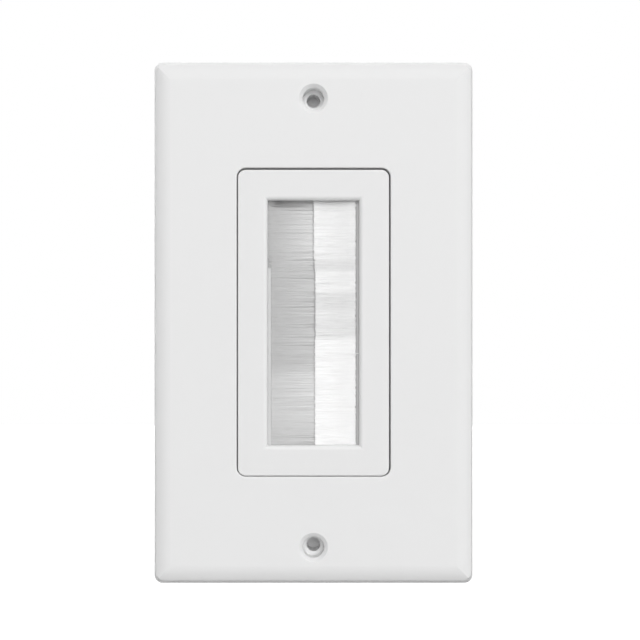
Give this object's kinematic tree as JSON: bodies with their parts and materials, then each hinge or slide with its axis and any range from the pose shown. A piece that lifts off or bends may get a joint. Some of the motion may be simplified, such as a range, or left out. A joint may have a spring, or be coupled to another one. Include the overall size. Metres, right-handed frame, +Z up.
{
  "type": "brush cable grommet",
  "caption": "White wall plate whose framed insert holds opposed nylon brushes, so that cables pass through the wall and the bristles close round them.",
  "frame": {"origin": "middle of the two box screw holes, on the wall plane that the plate's rim and the strap's back lie in", "axes": "+Z up along the plate's height, +Y into the wall, +X to the right for a viewer in front of the plate"},
  "size_m": [0.0698, 0.0108, 0.1142],
  "materials": {
    "plate_plastic": "white moulded plastic, smooth with a low gloss",
    "insert_plastic": "white moulded plastic, smooth with a low gloss",
    "carrier_plastic": "white moulded plastic, matt",
    "bristle_nylon": "fine pale nylon filaments with a sheen along them",
    "wire_steel": "drawn steel wire",
    "screw_steel": "bright zinc plated steel"
  },
  "bodies": {
    "root": {"wall_plate": "plate_plastic", "insert_frame": "insert_plastic", "brush_carrier_left": "carrier_plastic", "brush_carrier_right": "carrier_plastic", "bristles_left": "bristle_nylon", "bristles_right": "bristle_nylon", "core_wire_left": "wire_steel", "core_wire_right": "wire_steel", "brush_retainer": "carrier_plastic", "retainer_screws": "screw_steel"}
  },
  "joints": []
}
